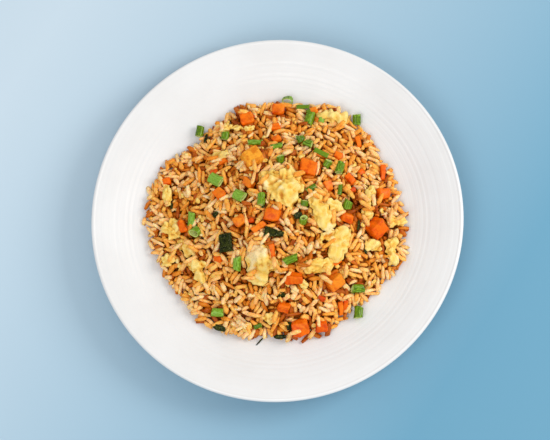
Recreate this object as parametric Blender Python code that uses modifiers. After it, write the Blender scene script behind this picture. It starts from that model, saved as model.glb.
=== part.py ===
"""Fried rice heaped on one turned stoneware plate, with its egg, carrot, scallion and leaf pieces.

Metres, +Z up. The origin is under the middle of the plate, on what the plate stands on.
Every topping piece is a solid of its own, sunk into a seat that is cut out of the heap of rice.
"""

import math

import bmesh
import bpy
from mathutils import Matrix, Vector

MM = 0.001
COLLECTION = "fried_rice_plate"
SEATS = "seats"

# ---------------------------------------------------------------- driving dimensions
CLEARANCE = 0.3 * MM  # between pieces that touch

PLATE_RADIUS = 135 * MM
PLATE_STEPS = 56  # facets round the plate
FLOOR_HEIGHT = 9.0 * MM  # the well's middle
DISH_RISE = 6.5 * MM  # the slow rise of the whole dish
SHOULDER_RISE = 9.5 * MM  # the quicker rise between well and rim
SHOULDER_START = 85 * MM
SHOULDER_END = 137 * MM
WALL = 5.5 * MM
LIP_THICKNESS = 3.6 * MM
FOOT_OUTER = 78 * MM
FOOT_INNER = 71 * MM
FOOT_RECESS = 3.2 * MM

HEAP_RADIUS = 91.2 * MM
HEAP_SEGMENTS = 44
HEAP_RINGS = 16
HEAP_LOBES = (  # (lobes round the outline, reach in mm, direction in degrees)
    (2, 2.5, 27),
    (3, 1.3, -141),
    (4, 2.0, -49),
    (6, 2.0, -65),
    (8, 1.3, 147),
    (17, 0.8, 20),
)
EDGE_HEIGHT = 2.5 * MM  # the widest ring of the heap, above the plate
SKIRT_HEIGHT = 9.0 * MM  # rice that has slid outwards
MOUND_HEIGHT = 29.0 * MM  # rice still piled up in the middle
MOUND_RADIUS = 80 * MM
MOUND_CENTRE = (4 * MM, -2 * MM)
BUMP_HEIGHT = 0.9 * MM
BUMP_LENGTH = 21 * MM

CARROT_BURIED = 0.42  # share of a cube's height that is sunk in the rice
EGG_BURIED = 0.35
EGG_SKIN = 1.6 * MM  # thinnest half height of a curd
EGG_CLEARANCE = 0.5 * MM  # its seat is looser, because its sides slope
DRAPE_LIMIT = 0.93  # share of the heap's reach where a soft piece stops following the rice
SCALLION_WALL = 0.9 * MM
SCALLION_BURIED = 0.35
SCALLION_SIDES = 8
LEAF_THICKNESS = 1.2 * MM

# (x, y, length, width, height in mm, turn, tilt in degrees)
CARROTS = (
    (-22.5, 74.5, 9.0, 8.5, 7.5, 20, 14),
    (0.5, 82.0, 9.0, 6.5, 6.5, -8, 10),
    (-16.5, 40.5, 13.5, 12.5, 9.0, 28, 12),
    (23.5, 31.5, 12.0, 10.5, 8.5, -12, 20),
    (-40.5, 14.0, 7.5, 7.5, 7.0, 35, 15),
    (-19.0, 20.5, 8.5, 5.5, 6.0, -38, 12),
    (-1.5, -4.5, 11.0, 8.0, 7.5, -14, 14),
    (-24.5, -8.0, 7.5, 7.0, 6.5, 25, 10),
    (-67.5, -6.5, 5.0, 9.5, 7.0, 18, 12),
    (51.0, -4.5, 9.0, 6.5, 7.5, -6, 26),
    (72.0, -9.5, 12.5, 11.0, 10.0, 48, 22),
    (76.5, 17.0, 9.0, 8.0, 7.0, 10, 12),
    (13.5, -48.5, 12.0, 7.0, 7.0, -6, 16),
    (42.5, -49.0, 12.0, 9.5, 8.0, 28, 14),
    (6.0, -67.0, 8.5, 6.5, 6.5, -16, 12),
    (17.5, -80.5, 12.0, 10.5, 8.5, 14, 12),
    (32.5, -79.5, 8.0, 7.0, 6.0, 4, 8),
)

# (x, y, length, diameter in mm, flatness, turn, rise of the tube's axis in degrees)
SCALLIONS = (
    (-57.5, 67.5, 7.5, 6.2, 0.9, 80, 0),
    (-38.0, 61.5, 5.5, 6.5, 0.9, 80, 20),
    (7.0, 90.0, 4.5, 9.0, 0.75, -90, 50),
    (23.5, 74.5, 8.5, 7.0, 0.8, 75, 20),
    (17.5, 57.0, 4.0, 6.4, 0.8, 120, 50),
    (23.5, 52.5, 5.5, 6.6, 0.65, -35, 10),
    (0.5, 50.0, 8.0, 4.6, 0.75, 15, 0),
    (3.5, 38.8, 4.5, 6.0, 0.9, 80, 60),
    (-15.5, 53.5, 10.0, 5.0, 0.8, -3, 0),
    (37.0, 36.5, 5.0, 6.0, 0.9, 60, 50),
    (46.0, 33.5, 8.5, 6.4, 0.85, 75, 0),
    (58.0, 75.0, 7.5, 6.5, 0.8, 90, 20),
    (-43.5, 25.5, 11.0, 8.5, 0.5, -35, 0),
    (-25.5, 11.0, 8.5, 8.5, 0.55, -32, 0),
    (-9.5, 7.0, 9.0, 5.8, 0.8, 88, 0),
    (-61.0, -2.0, 9.5, 5.8, 0.8, 82, 8),
    (-57.5, -12.0, 5.0, 8.4, 0.85, -120, 50),
    (26.0, 15.5, 7.5, 4.6, 0.8, 38, 0),
    (20.5, -8.0, 5.5, 5.8, 0.95, 80, 60),
    (51.5, 5.0, 6.0, 7.0, 0.95, 85, 30),
    (-27.0, -37.0, 9.5, 6.2, 0.85, 85, 8),
    (11.5, -36.0, 10.0, 5.8, 0.85, 22, 0),
    (58.5, -52.5, 8.5, 6.6, 0.85, -4, 0),
    (59.0, -69.0, 8.0, 7.0, 0.85, 85, 0),
    (-42.0, -69.5, 8.5, 6.5, 0.85, -4, 0),
)

# (x, y, folds), each fold (dx, dy, radius, height), all in mm
EGGS = (
    (4.5, 18.3, ((3.5, -2, 13, 6.5), (-9, 4, 8, 5), (4, 5.5, 7.5, 4.5), (5, -10, 7.5, 4))),
    (-9.5, -38.0, ((0, 2, 11, 6), (7, 0, 7, 4.5), (-2, -7, 7.5, 4.5), (-5, 5, 8, 5))),
    (34.0, 0.5, ((-3.5, 5, 7, 5), (1, -4, 7.5, 5.5), (4, -10, 6, 4.5))),
    (46.0, -22.5, ((2, 6, 6.5, 5), (-1, -2, 7, 5), (-4, -8, 6, 4))),
    (31.0, -39.5, ((-6, -1, 5.5, 3.5), (0, 0, 6, 4), (6, 1, 5, 3.5))),
    (66.5, 8.0, ((2, 9, 4.2, 4), (0, 1, 4.6, 4.5), (-1, -8, 4.6, 4))),
    (86.5, -3.5, ((-2, 0, 4.2, 3), (2.5, 0.5, 4.2, 3))),
    (70.0, -21.5, ((-2.5, 0.5, 4.4, 3), (2.5, -1.5, 4.4, 3))),
    (83.0, -25.0, ((0, 6, 4.2, 3), (-1, 0, 4.2, 3), (1, -6, 4.2, 3))),
    (-77.0, -9.0, ((-3, 3, 4.6, 4), (2, -2, 5.2, 5))),
    (-65.0, -22.0, ((-4, 2, 5, 4.5), (2.5, -1, 5.4, 4.5))),
    (40.5, 75.5, ((-8, 2, 4.2, 3.5), (-1, 1, 4.8, 4), (6, -1, 5, 4))),
    (-57.0, -38.0, ((-4, 4, 4.4, 3), (1, 1, 5.2, 3.5), (3, -6, 4.6, 3.5))),
)

# (x, y, length, width at the near and far end in mm, turn, curl in mm)
LEAVES = (
    (-35.5, -22.5, 12.5, 9.5, 9.0, 94, 0.8),
    (0.0, -17.5, 13.5, 7.0, 3.0, -12, 0.6),
)

# (red, green, blue, roughness)
FINISHES = {
    "plate_glaze": (0.86, 0.85, 0.83, 0.25),
    "rice": (0.62, 0.33, 0.11, 0.5),
    "egg": (0.84, 0.62, 0.22, 0.45),
    "carrot": (0.83, 0.22, 0.02, 0.4),
    "scallion": (0.14, 0.33, 0.03, 0.4),
    "leaf": (0.02, 0.05, 0.02, 0.45),
}


# ---------------------------------------------------------------- surfaces that the pieces lie on
def smooth_step(value):
    """0 below 0, 1 above 1, and an S-curve between."""
    value = min(max(value, 0.0), 1.0)
    return value * value * (3 - 2 * value)


def plate_top(radius):
    """Height of the plate's eating surface at this distance from the middle."""
    dish = DISH_RISE * (radius / PLATE_RADIUS) ** 2.5
    shoulder = smooth_step((radius - SHOULDER_START) / (SHOULDER_END - SHOULDER_START))
    return FLOOR_HEIGHT + dish + SHOULDER_RISE * shoulder


def heap_radius(angle):
    """Reach of the heap's uneven outline in this direction."""
    reach = HEAP_RADIUS
    for lobes, size, direction in HEAP_LOBES:
        reach += size * MM * math.cos(lobes * angle - math.radians(direction))
    return reach


def heap_bumps(x, y):
    """Shallow hollows and humps where the spoon has left the rice uneven."""
    first = math.sin(x / BUMP_LENGTH * 2.1 + 0.7) * math.sin(y / BUMP_LENGTH * 1.9 - 0.4)
    second = math.sin((x + y) / BUMP_LENGTH * 3.3) * math.sin((x - y) / BUMP_LENGTH * 2.7 + 1.1)
    return BUMP_HEIGHT * (first + 0.7 * second)


def heap_top(x, y):
    """Height of the rice's surface, or of the plate where there is no rice."""
    distance = math.hypot(x, y)
    share = distance / heap_radius(math.atan2(y, x))
    if share >= 1:
        return plate_top(distance)
    skirt = SKIRT_HEIGHT * math.sqrt(1 - share**6)
    off_centre = math.hypot(x - MOUND_CENTRE[0], y - MOUND_CENTRE[1]) / MOUND_RADIUS
    mound = MOUND_HEIGHT * max(0.0, 1 - off_centre**2) ** 1.4
    bumps = heap_bumps(x, y) * (1 - share**4)
    return plate_top(distance) + CLEARANCE + EDGE_HEIGHT + skirt + mound + bumps


def drape_top(plan):
    """Height that a soft piece takes on the rice: it spans the heap's steep edge instead of dropping."""
    share = plan.length / heap_radius(math.atan2(plan.y, plan.x))
    inner = plan * min(1.0, DRAPE_LIMIT / max(share, DRAPE_LIMIT))
    return heap_top(inner.x, inner.y)


def surface_frame(x, y):
    """Matrix on the surface at x, y: its Z is the surface's normal and its X stays near world X."""
    step = 4 * MM
    share = math.hypot(x, y) / heap_radius(math.atan2(y, x))
    normal = Vector((0, 0, 1))
    if share < 1:
        slope_x = (heap_top(x + step, y) - heap_top(x - step, y)) / (2 * step)
        slope_y = (heap_top(x, y + step) - heap_top(x, y - step)) / (2 * step)
        steepest = max(1.0, math.hypot(slope_x, slope_y) / 0.7)
        normal = Vector((-slope_x / steepest, -slope_y / steepest, 1)).normalized()
    across = Vector((1, 0, 0))
    across = (across - normal * across.dot(normal)).normalized()
    frame = Matrix((across, normal.cross(across), normal)).transposed().to_4x4()
    frame.translation = (x, y, heap_top(x, y))
    return frame


# ---------------------------------------------------------------- objects and materials
def clear_scene():
    for thing in list(bpy.data.objects):
        bpy.data.objects.remove(thing, do_unlink=True)


def new_collection(name):
    collection = bpy.data.collections.new(name)
    bpy.context.scene.collection.children.link(collection)
    return collection


def make_finish(name):
    red, green, blue, roughness = FINISHES[name]
    material = bpy.data.materials.new(name)
    material.use_nodes = True
    shader = material.node_tree.nodes["Principled BSDF"]
    shader.inputs["Base Color"].default_value = (red, green, blue, 1)
    shader.inputs["Roughness"].default_value = roughness
    shader.inputs["Metallic"].default_value = 0.0
    return material


def mesh_from(bm, name):
    """Closes a bmesh into a mesh of triangles whose faces all point out."""
    bmesh.ops.triangulate(bm, faces=bm.faces, quad_method="FIXED")
    bmesh.ops.recalc_face_normals(bm, faces=bm.faces)
    mesh = bpy.data.meshes.new(name)
    bm.to_mesh(mesh)
    bm.free()
    return mesh


def add_piece(name, mesh, finish, collection, place=None):
    piece = bpy.data.objects.new(name, mesh)
    mesh.materials.append(finish)
    collection.objects.link(piece)
    if place is not None:
        piece.location = place.to_translation()
        piece.rotation_euler = place.to_euler()
    return piece


def add_seat(name, mesh, collection, place=None):
    """A slightly larger copy of a topping piece, which the heap is cut with."""
    seat = bpy.data.objects.new(name + "_seat", mesh)
    collection.objects.link(seat)
    seat.hide_render = True
    seat.display_type = "WIRE"
    if place is not None:
        seat.location = place.to_translation()
        seat.rotation_euler = place.to_euler()
    return seat


def lifted_clear(place, mesh):
    """Raises a piece that would dip into the plate until its lowest corner rests on the glaze."""
    lift = 0.0
    for vertex in mesh.vertices:
        point = place @ vertex.co
        rest = plate_top(math.hypot(point.x, point.y)) + 2 * CLEARANCE
        lift = max(lift, rest - point.z)
    return Matrix.Translation((0, 0, lift)) @ place


# ---------------------------------------------------------------- plate
def plate_profile():
    """Half section of the plate from the middle of the well, over the lip, to the foot ring."""
    lip = plate_top(PLATE_RADIUS)
    inner = (0, 35, 65, 84, 92, 99, 106, 113, 121, 129)
    points = [(radius * MM, plate_top(radius * MM)) for radius in inner]
    middle = PLATE_RADIUS - LIP_THICKNESS / 2
    for angle in (135, 90, 45, 0, -60):
        turn = math.radians(angle)
        across = middle + LIP_THICKNESS / 2 * math.cos(turn)
        height = lip - LIP_THICKNESS / 2 + LIP_THICKNESS / 2 * math.sin(turn)
        points.append((across, height))
    for radius in (124, 112, 96):
        points.append((radius * MM, plate_top(radius * MM) - WALL))
    points.append((FOOT_OUTER + 1.0 * MM, plate_top(FOOT_OUTER) - WALL))
    points.append((FOOT_OUTER, 0))
    points.append((FOOT_INNER, 0))
    points.append((FOOT_INNER - 1.5 * MM, FOOT_RECESS))
    points.append((0, FOOT_RECESS))
    return points


def build_plate(collection):
    bm = bmesh.new()
    corners = [bm.verts.new((radius, 0, height)) for radius, height in plate_profile()]
    for first, second in zip(corners, corners[1:]):
        bm.edges.new((first, second))
    mesh = bpy.data.meshes.new("plate")
    bm.to_mesh(mesh)
    bm.free()
    plate = add_piece("plate", mesh, make_finish("plate_glaze"), collection)
    screw = plate.modifiers.new("turned", "SCREW")
    screw.axis = "Z"
    screw.steps = PLATE_STEPS
    screw.render_steps = PLATE_STEPS
    screw.use_merge_vertices = True
    screw.merge_threshold = 0.0001
    screw.use_smooth_shade = True
    return plate


# ---------------------------------------------------------------- rice
def build_heap(collection, seats):
    """A round body drawn out to the heap's outline, its top heaped up and its bottom on the plate."""
    bm = bmesh.new()
    bmesh.ops.create_uvsphere(bm, u_segments=HEAP_SEGMENTS, v_segments=HEAP_RINGS, radius=1)
    for vertex in bm.verts:
        share = min(math.hypot(vertex.co.x, vertex.co.y), 0.9999)
        angle = math.atan2(vertex.co.y, vertex.co.x)
        distance = share * heap_radius(angle)
        x = distance * math.cos(angle)
        y = distance * math.sin(angle)
        if vertex.co.z >= -0.001:
            height = heap_top(x, y)
        else:
            curl = EDGE_HEIGHT * smooth_step((share - 0.9) / 0.1)
            height = plate_top(distance) + CLEARANCE + curl
        vertex.co = (x, y, height)
    heap = add_piece("rice_heap", mesh_from(bm, "rice_heap"), make_finish("rice"), collection)
    cut = heap.modifiers.new("seats", "BOOLEAN")
    cut.operation = "DIFFERENCE"
    cut.solver = "EXACT"
    cut.operand_type = "COLLECTION"
    cut.collection = seats
    return heap


# ---------------------------------------------------------------- carrot
def carrot_mesh(number, size, grown):
    """A hand-cut cube: each corner is a little off, by an amount that differs from cube to cube."""
    bm = bmesh.new()
    bmesh.ops.create_cube(bm, size=1)
    for index, vertex in enumerate(bm.verts):
        for axis in range(3):
            off = 0.09 * math.sin(5.1 * number + 2.3 * index + 1.7 * axis)
            half = size[axis] * MM / 2
            side = 1 if vertex.co[axis] > 0 else -1
            vertex.co[axis] = side * (half * (1 + off) + grown)
    return mesh_from(bm, f"carrot_{number:02d}")


def build_carrots(collection, seats):
    finish = make_finish("carrot")
    for number, (x, y, length, width, height, turn, tilt) in enumerate(CARROTS, 1):
        name = f"carrot_dice_{number:02d}"
        sunk = Matrix.Translation((0, 0, (0.5 - CARROT_BURIED) * height * MM))
        turned = Matrix.Rotation(math.radians(turn), 4, "Z")
        tilted = Matrix.Rotation(math.radians(tilt), 4, "X")
        place = surface_frame(x * MM, y * MM) @ sunk @ turned @ tilted
        size = (length, width, height)
        mesh = carrot_mesh(number, size, 0.0)
        place = lifted_clear(place, mesh)
        add_piece(name, mesh, finish, collection, place)
        add_seat(name, carrot_mesh(number, size, CLEARANCE), seats, place)


# ---------------------------------------------------------------- scallion
def scallion_mesh(number, length, diameter, flatness, grown):
    """An oval length of stalk along X, open at both ends. A grown one is a plain rod, for the seat."""
    bm = bmesh.new()
    bmesh.ops.create_cone(
        bm,
        cap_ends=grown > 0,
        segments=SCALLION_SIDES,
        radius1=diameter * MM / 2 + grown,
        radius2=diameter * MM / 2 + grown,
        depth=length * MM + 2 * grown,
        matrix=Matrix.Rotation(math.radians(90), 4, "Y"),
    )
    for vertex in bm.verts:
        side = 1 if vertex.co.x > 0 else -1
        vertex.co.z *= flatness
        vertex.co.x += 0.35 * side * vertex.co.y * math.sin(2.9 * number)
    return mesh_from(bm, f"scallion_{number:02d}")


def build_scallions(collection, seats):
    finish = make_finish("scallion")
    for number, (x, y, length, diameter, flatness, turn, rise) in enumerate(SCALLIONS, 1):
        name = f"scallion_{number:02d}"
        steepness = abs(math.sin(math.radians(rise)))
        height = diameter * flatness * (1 - steepness) + length * steepness
        sunk = Matrix.Translation((0, 0, (0.5 - SCALLION_BURIED) * height * MM))
        turned = Matrix.Rotation(math.radians(turn), 4, "Z")
        raised = Matrix.Rotation(math.radians(-rise), 4, "Y")
        place = surface_frame(x * MM, y * MM) @ sunk @ turned @ raised
        rod = scallion_mesh(number, length, diameter, flatness, CLEARANCE)
        place = lifted_clear(place, rod)
        mesh = scallion_mesh(number, length, diameter, flatness, 0.0)
        tube = add_piece(name, mesh, finish, collection, place)
        wall = tube.modifiers.new("wall", "SOLIDIFY")
        wall.thickness = SCALLION_WALL
        wall.offset = -1
        add_seat(name, rod, seats, place)


# ---------------------------------------------------------------- egg
def fold_reach(folds, angle, grown):
    """How far the rounds of these folds reach from the curd's middle in this direction."""
    reach = 2 * MM + grown
    for dx, dy, radius, _ in folds:
        along = (dx * math.cos(angle) + dy * math.sin(angle)) * MM
        beside = (dx * math.sin(angle) - dy * math.cos(angle)) * MM
        round_reach = radius * MM + grown
        if abs(beside) < round_reach:
            reach = max(reach, along + math.sqrt(round_reach**2 - beside**2))
    return reach


def fold_height(folds, x, y):
    """Half height of the curd at x, y from its middle, thickest over each fold."""
    height = 0.0
    for dx, dy, radius, crown in folds:
        away = ((x - dx * MM) ** 2 + (y - dy * MM) ** 2) / (radius * MM) ** 2
        height = max(height, crown / 2 * MM * math.exp(-away))
    return EGG_SKIN + height


def egg_mesh(number, x, y, folds, grown):
    """A soft curd draped over the rice: a round cage drawn out to its folds."""
    bm = bmesh.new()
    detail = 3 if number == 1 else 2
    bmesh.ops.create_icosphere(bm, subdivisions=detail, radius=1)
    for vertex in bm.verts:
        angle = math.atan2(vertex.co.y, vertex.co.x)
        share = math.hypot(vertex.co.x, vertex.co.y)
        wobble = 1 + 0.08 * math.sin(5 * angle + number)
        heading = Vector((math.cos(angle), math.sin(angle)))
        middle = Vector((x * MM, y * MM))
        plan = middle + heading * share * fold_reach(folds, angle, 0.0) * wobble
        half = fold_height(folds, plan.x - x * MM, plan.y - y * MM)
        height = drape_top(plan) + (1 - 2 * EGG_BURIED + vertex.co.z) * half
        rest = plate_top(plan.length) + 2.5 * CLEARANCE
        plan = middle + heading * share * fold_reach(folds, angle, grown) * wobble
        vertex.co = (plan.x, plan.y, max(height, rest) + vertex.co.z * grown)
    return mesh_from(bm, f"egg_{number:02d}")


def build_eggs(collection, seats):
    finish = make_finish("egg")
    for number, (x, y, folds) in enumerate(EGGS, 1):
        name = f"egg_curd_{number:02d}"
        add_piece(name, egg_mesh(number, x, y, folds, 0.0), finish, collection)
        add_seat(name, egg_mesh(number, x, y, folds, EGG_CLEARANCE), seats)


# ---------------------------------------------------------------- leaf
def leaf_mesh(number, leaf, grown):
    """A torn piece of dark leaf: a thin slab that follows the rice and curls up at its ends."""
    x, y, length, near_width, far_width, turn, curl = leaf
    bm = bmesh.new()
    bmesh.ops.create_cube(bm, size=1)
    lengthways = [edge for edge in bm.edges if abs(edge.verts[0].co.x - edge.verts[1].co.x) > 0.5]
    bmesh.ops.subdivide_edges(bm, edges=lengthways, cuts=3, use_grid_fill=True)
    angle = math.radians(turn)
    for vertex in bm.verts:
        along = vertex.co.x * (length * MM + 2 * grown)
        share = vertex.co.x + 0.5
        width = (near_width + (far_width - near_width) * share) * MM
        beside = vertex.co.y * (width + 2 * grown)
        world_x = x * MM + along * math.cos(angle) - beside * math.sin(angle)
        world_y = y * MM + along * math.sin(angle) + beside * math.cos(angle)
        rise = curl * MM * (2 * vertex.co.x) ** 2
        height = heap_top(world_x, world_y) + LEAF_THICKNESS * 0.2 + rise
        height += vertex.co.z * (LEAF_THICKNESS + 2 * grown)
        vertex.co = (world_x, world_y, height)
    return mesh_from(bm, f"leaf_{number:02d}")


def build_leaves(collection, seats):
    finish = make_finish("leaf")
    for number, leaf in enumerate(LEAVES, 1):
        name = f"dark_leaf_{number:02d}"
        add_piece(name, leaf_mesh(number, leaf, 0.0), finish, collection)
        add_seat(name, leaf_mesh(number, leaf, CLEARANCE), seats)


# ---------------------------------------------------------------- whole
def build():
    clear_scene()
    collection = new_collection(COLLECTION)
    seats = new_collection(SEATS)
    build_plate(collection)
    build_carrots(collection, seats)
    build_scallions(collection, seats)
    build_eggs(collection, seats)
    build_leaves(collection, seats)
    build_heap(collection, seats)


build()
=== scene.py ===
# %% [markdown]
# # Fried rice on its turned plate
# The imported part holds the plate, one solid heap of rice and every large topping, all at real size.
# This lesson dresses it. The plate is turned again with its fine throwing lines, the toppings get
# crumpled, cut or curled surfaces, and the solid heap becomes thousands of grains over a smaller core.
# Everything is in metres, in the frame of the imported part, so nothing has to be fitted afterwards.

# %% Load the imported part
import math
import random

import bmesh
import bpy
import numpy as np
from mathutils import Matrix, Vector, noise
from mathutils.bvhtree import BVHTree


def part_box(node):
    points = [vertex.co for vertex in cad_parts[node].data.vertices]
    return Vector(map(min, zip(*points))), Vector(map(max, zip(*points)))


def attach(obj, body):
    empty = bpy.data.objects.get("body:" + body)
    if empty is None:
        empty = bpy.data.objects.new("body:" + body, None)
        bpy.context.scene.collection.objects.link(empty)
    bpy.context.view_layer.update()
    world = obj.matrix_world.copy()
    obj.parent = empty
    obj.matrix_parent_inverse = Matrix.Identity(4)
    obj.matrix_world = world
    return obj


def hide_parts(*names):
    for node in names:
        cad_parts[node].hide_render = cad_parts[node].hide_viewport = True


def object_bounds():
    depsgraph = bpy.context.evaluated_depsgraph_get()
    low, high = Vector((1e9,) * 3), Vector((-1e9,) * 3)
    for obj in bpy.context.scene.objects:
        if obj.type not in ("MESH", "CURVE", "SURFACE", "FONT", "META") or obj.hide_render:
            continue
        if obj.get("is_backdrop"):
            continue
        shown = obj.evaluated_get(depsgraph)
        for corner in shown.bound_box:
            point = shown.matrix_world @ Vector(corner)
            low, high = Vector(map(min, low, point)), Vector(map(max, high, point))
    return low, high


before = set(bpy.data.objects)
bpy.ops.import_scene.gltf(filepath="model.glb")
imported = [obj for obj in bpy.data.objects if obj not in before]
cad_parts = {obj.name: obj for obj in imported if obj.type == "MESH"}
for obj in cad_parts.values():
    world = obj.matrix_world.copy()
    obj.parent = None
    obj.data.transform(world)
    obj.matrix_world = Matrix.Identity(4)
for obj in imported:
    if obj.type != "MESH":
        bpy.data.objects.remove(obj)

MM = 0.001
CAD_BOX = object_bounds()
print("packed part, mm:", [round((high - low) / MM, 1) for low, high in zip(*CAD_BOX)])

# %% [markdown]
# ## Where the plate and the rice have their surfaces
# Grains, crumbs and herbs all need to know how high the plate or the rice is at a given place.
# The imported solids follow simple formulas, so the same formulas are written here once.
# They take numpy arrays as well as single numbers, so a whole field of heights is one call.

# %% Heights of the plate
PLATE_LOW, PLATE_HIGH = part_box("plate")
PLATE_RADIUS = (PLATE_HIGH.x - PLATE_LOW.x) / 2
FLOOR_HEIGHT = 9.0 * MM
DISH_RISE = 6.5 * MM
SHOULDER_RISE = 9.5 * MM
SHOULDER_START = 85 * MM
SHOULDER_END = 137 * MM
CLEARANCE = 0.3 * MM


def smooth_step(value):
    """0 below 0, 1 above 1, and an S-curve between."""
    value = np.clip(value, 0.0, 1.0)
    return value * value * (3 - 2 * value)


def plate_top(radius):
    """Height of the plate's eating surface at this distance from the middle."""
    dish = DISH_RISE * (radius / PLATE_RADIUS) ** 2.5
    shoulder = smooth_step((radius - SHOULDER_START) / (SHOULDER_END - SHOULDER_START))
    return FLOOR_HEIGHT + dish + SHOULDER_RISE * shoulder


print("the plate's lip is", round(plate_top(PLATE_RADIUS) / MM, 1), "mm high")

# %% Heights of the heap
HEAP_RADIUS = 91.2 * MM
HEAP_LOBES = (  # (lobes round the outline, reach in mm, direction in degrees)
    (2, 2.5, 27),
    (3, 1.3, -141),
    (4, 2.0, -49),
    (6, 2.0, -65),
    (8, 1.3, 147),
    (17, 0.8, 20),
)
EDGE_HEIGHT = 2.5 * MM
SKIRT_HEIGHT = 9.0 * MM
MOUND_HEIGHT = 29.0 * MM
MOUND_RADIUS = 80 * MM
MOUND_CENTRE = (4 * MM, -2 * MM)
BUMP_HEIGHT = 0.9 * MM
BUMP_LENGTH = 21 * MM


def heap_radius(angle):
    """Reach of the heap's uneven outline in this direction."""
    reach = HEAP_RADIUS
    for lobes, size, direction in HEAP_LOBES:
        reach = reach + size * MM * np.cos(lobes * angle - math.radians(direction))
    return reach


def heap_share(x, y):
    """0 in the middle of the heap and 1 on its outline."""
    return np.hypot(x, y) / heap_radius(np.arctan2(y, x))


def heap_bumps(x, y):
    """Shallow hollows and humps that the spoon has left."""
    first = np.sin(x / BUMP_LENGTH * 2.1 + 0.7) * np.sin(y / BUMP_LENGTH * 1.9 - 0.4)
    second = np.sin((x + y) / BUMP_LENGTH * 3.3) * np.sin((x - y) / BUMP_LENGTH * 2.7 + 1.1)
    return BUMP_HEIGHT * (first + 0.7 * second)


def heap_top(x, y):
    """Height of the rice's surface, or of the plate where there is no rice."""
    share = np.minimum(heap_share(x, y), 1.0)
    skirt = SKIRT_HEIGHT * np.sqrt(1 - share**6)
    off_centre = np.hypot(x - MOUND_CENTRE[0], y - MOUND_CENTRE[1]) / MOUND_RADIUS
    mound = MOUND_HEIGHT * np.maximum(0.0, 1 - off_centre**2) ** 1.4
    rice = CLEARANCE + EDGE_HEIGHT + skirt + mound + heap_bumps(x, y) * (1 - share**4)
    return plate_top(np.hypot(x, y)) + np.where(share < 1, rice, 0.0)


print("top of the rice, mm:", round(float(heap_top(*MOUND_CENTRE)) / MM, 1))

# %% A frame that lies on the surface
SLOPE_STEP = 4 * MM


def surface_frame(x, y, lift=0.0):
    """Matrix on the surface at x, y: its Z is the surface's normal and its X stays near world X."""
    normal = Vector((0, 0, 1))
    if heap_share(x, y) < 1:
        slope_x = (heap_top(x + SLOPE_STEP, y) - heap_top(x - SLOPE_STEP, y)) / (2 * SLOPE_STEP)
        slope_y = (heap_top(x, y + SLOPE_STEP) - heap_top(x, y - SLOPE_STEP)) / (2 * SLOPE_STEP)
        steepest = max(1.0, math.hypot(slope_x, slope_y) / 0.7)
        normal = Vector((-slope_x / steepest, -slope_y / steepest, 1)).normalized()
    across = Vector((1, 0, 0))
    across = (across - normal * across.dot(normal)).normalized()
    placed = Matrix((across, normal.cross(across), normal)).transposed().to_4x4()
    placed.translation = Vector((x, y, float(heap_top(x, y)))) + normal * lift
    return placed


# %% [markdown]
# ## Camera
# The dish is seen from nearly overhead with a long lens, a little from one side.
# A camera looks along its own -Z, so its matrix is built from three directions: right, up and back.
# The last turn keeps world +Y pointing up the picture.

# %% Camera
AZIMUTH = math.radians(14.0)
ELEVATION = math.radians(75.8)
DISTANCE = 1.5
TARGET = Vector((-1.0 * MM, -2.5 * MM, 25 * MM))


def add_camera():
    back = Vector(
        (
            math.sin(AZIMUTH) * math.cos(ELEVATION),
            -math.cos(AZIMUTH) * math.cos(ELEVATION),
            math.sin(ELEVATION),
        )
    )
    level = Vector((math.cos(AZIMUTH), math.sin(AZIMUTH), 0))
    steep = back.cross(level)
    right = math.cos(AZIMUTH) * level - math.sin(AZIMUTH) * steep
    upward = math.sin(AZIMUTH) * level + math.cos(AZIMUTH) * steep
    data = bpy.data.cameras.new("camera")
    data.lens = 135.8
    data.sensor_width = 36.0
    camera = bpy.data.objects.new("camera", data)
    placed = Matrix((right, upward, back)).transposed().to_4x4()
    placed.translation = TARGET + DISTANCE * back
    camera.matrix_world = placed
    bpy.context.scene.collection.objects.link(camera)
    bpy.context.scene.camera = camera
    return camera


print("camera at", [round(value, 3) for value in add_camera().matrix_world.translation])

# %% [markdown]
# ## Light
# One large soft box stands on the right and throws the heap's soft shadow to the left.
# A weaker box on the near side and the pale world fill the gaps between the grains.
# The Standard view transform keeps whites white, which a plain studio picture of food needs.

# %% Lights and world
LIGHTS = (  # (name, place, size, power, colour)
    ("key_softbox", (0.98, 0.22, 0.74), 0.60, 8.2, (1.0, 0.975, 0.94)),
    ("low_softbox", (-0.30, -0.62, 1.05), 0.70, 4.8, (0.98, 0.99, 1.0)),
)
WORLD_STRENGTH = 0.67


def add_lights():
    for name, place, size, power, colour in LIGHTS:
        data = bpy.data.lights.new(name, "AREA")
        data.shape = "SQUARE"
        data.size = size
        data.energy = power
        data.color = colour
        lamp = bpy.data.objects.new(name, data)
        lamp.location = place
        aim = Vector((0, 0, 0.02)) - Vector(place)
        lamp.rotation_euler = aim.to_track_quat("-Z", "Y").to_euler()
        bpy.context.scene.collection.objects.link(lamp)


def add_world():
    world = bpy.data.worlds.new("studio")
    world.use_nodes = True
    sky = world.node_tree.nodes["Background"]
    sky.inputs["Color"].default_value = (0.95, 0.97, 1.0, 1)
    sky.inputs["Strength"].default_value = WORLD_STRENGTH
    bpy.context.scene.world = world
    bpy.context.scene.view_settings.view_transform = "Standard"


add_lights()
add_world()
print(len(LIGHTS), "lights")

# %% [markdown]
# ## Small helpers for materials
# Every finish below is a Principled shader whose colour, roughness and bump come from noise.
# The noise reads Object coordinates, which are metres on these pieces, so a scale of 400 means
# lumps of about 2.5 mm. The helpers keep the node wiring short enough to read.

# %% Material helpers
def new_finish(name, roughness):
    """A material, with its node tree and its shader."""
    material = bpy.data.materials.new(name)
    material.use_nodes = True
    shader = material.node_tree.nodes["Principled BSDF"]
    shader.inputs["Roughness"].default_value = roughness
    return material, material.node_tree, shader


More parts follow.
